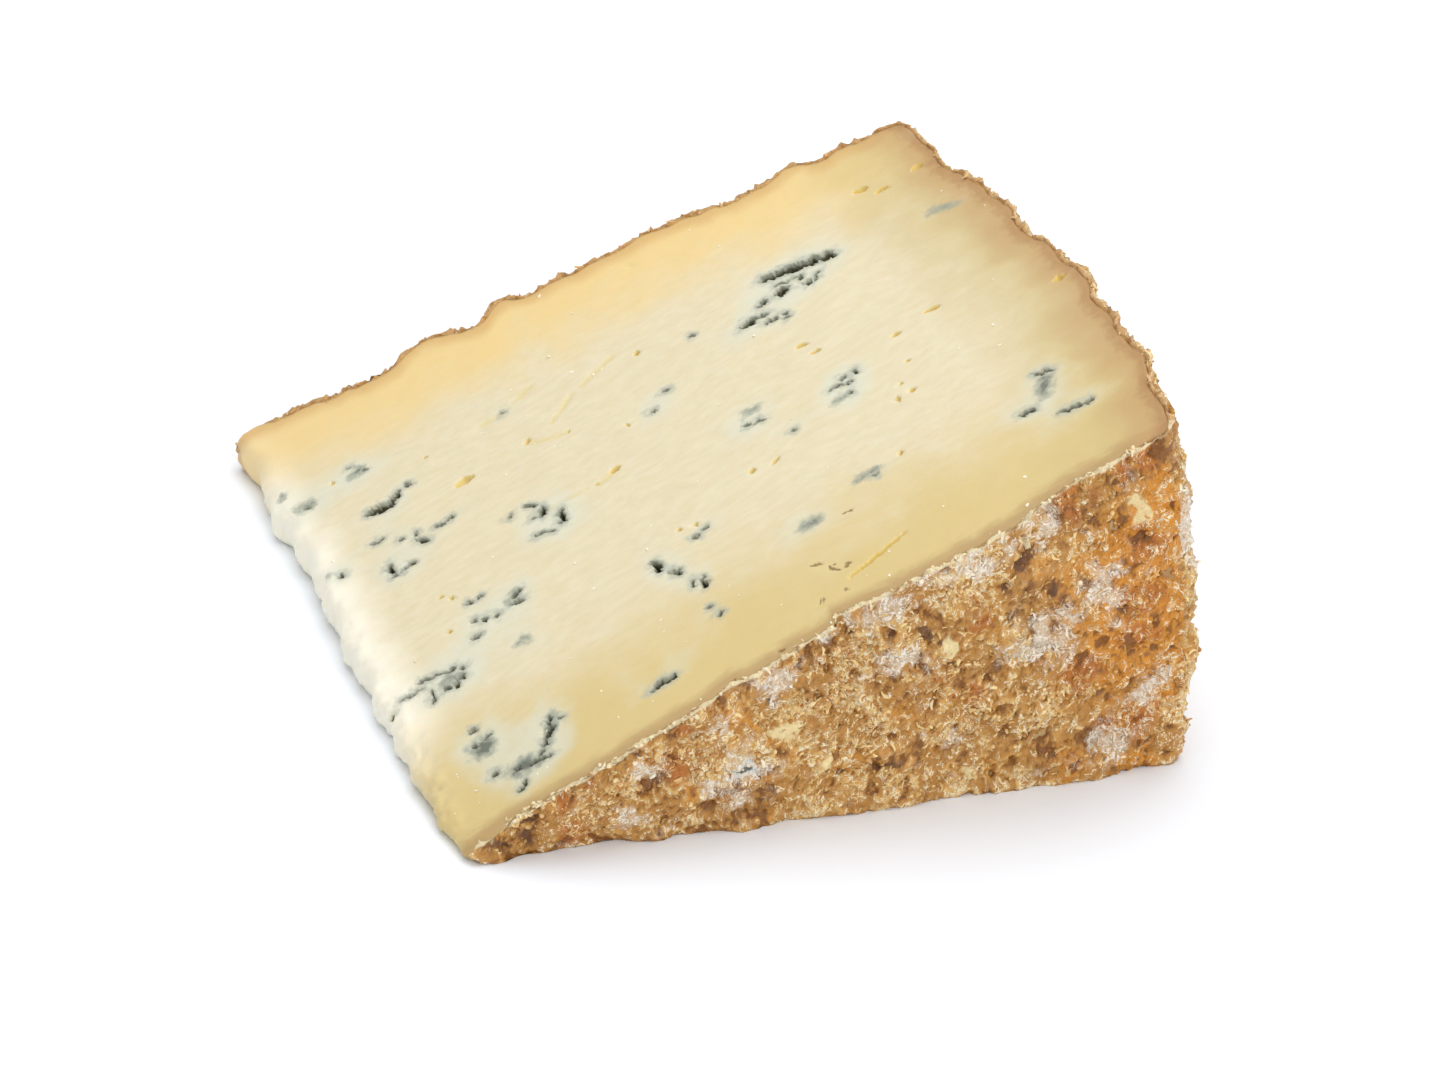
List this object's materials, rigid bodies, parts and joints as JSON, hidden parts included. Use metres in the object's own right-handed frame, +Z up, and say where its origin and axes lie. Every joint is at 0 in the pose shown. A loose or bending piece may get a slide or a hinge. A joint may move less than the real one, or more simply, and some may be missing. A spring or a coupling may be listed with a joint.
{
  "type": "blue cheese wedge",
  "caption": "Wedge of blue cheese with a brown natural rind on its flats and round side, lying on one cut face, with blue veins in the sloping cut face.",
  "frame": {"origin": "middle of the footprint of the whole wedge, on the face it rests on", "axes": "+X out from the tip to the rind side, +Y along the wheel's axis from the rind flat in view to the hidden one, +Z up"},
  "size_m": [0.114, 0.1134, 0.055],
  "materials": {
    "cheese_paste": "cream-yellow cheese paste with blue-green veins, cut by wire, slightly moist",
    "cheese_rind": "dry, craggy brown natural rind with white bloom"
  },
  "bodies": {
    "root": {"cheese_wedge": "cheese_paste"}
  },
  "joints": []
}
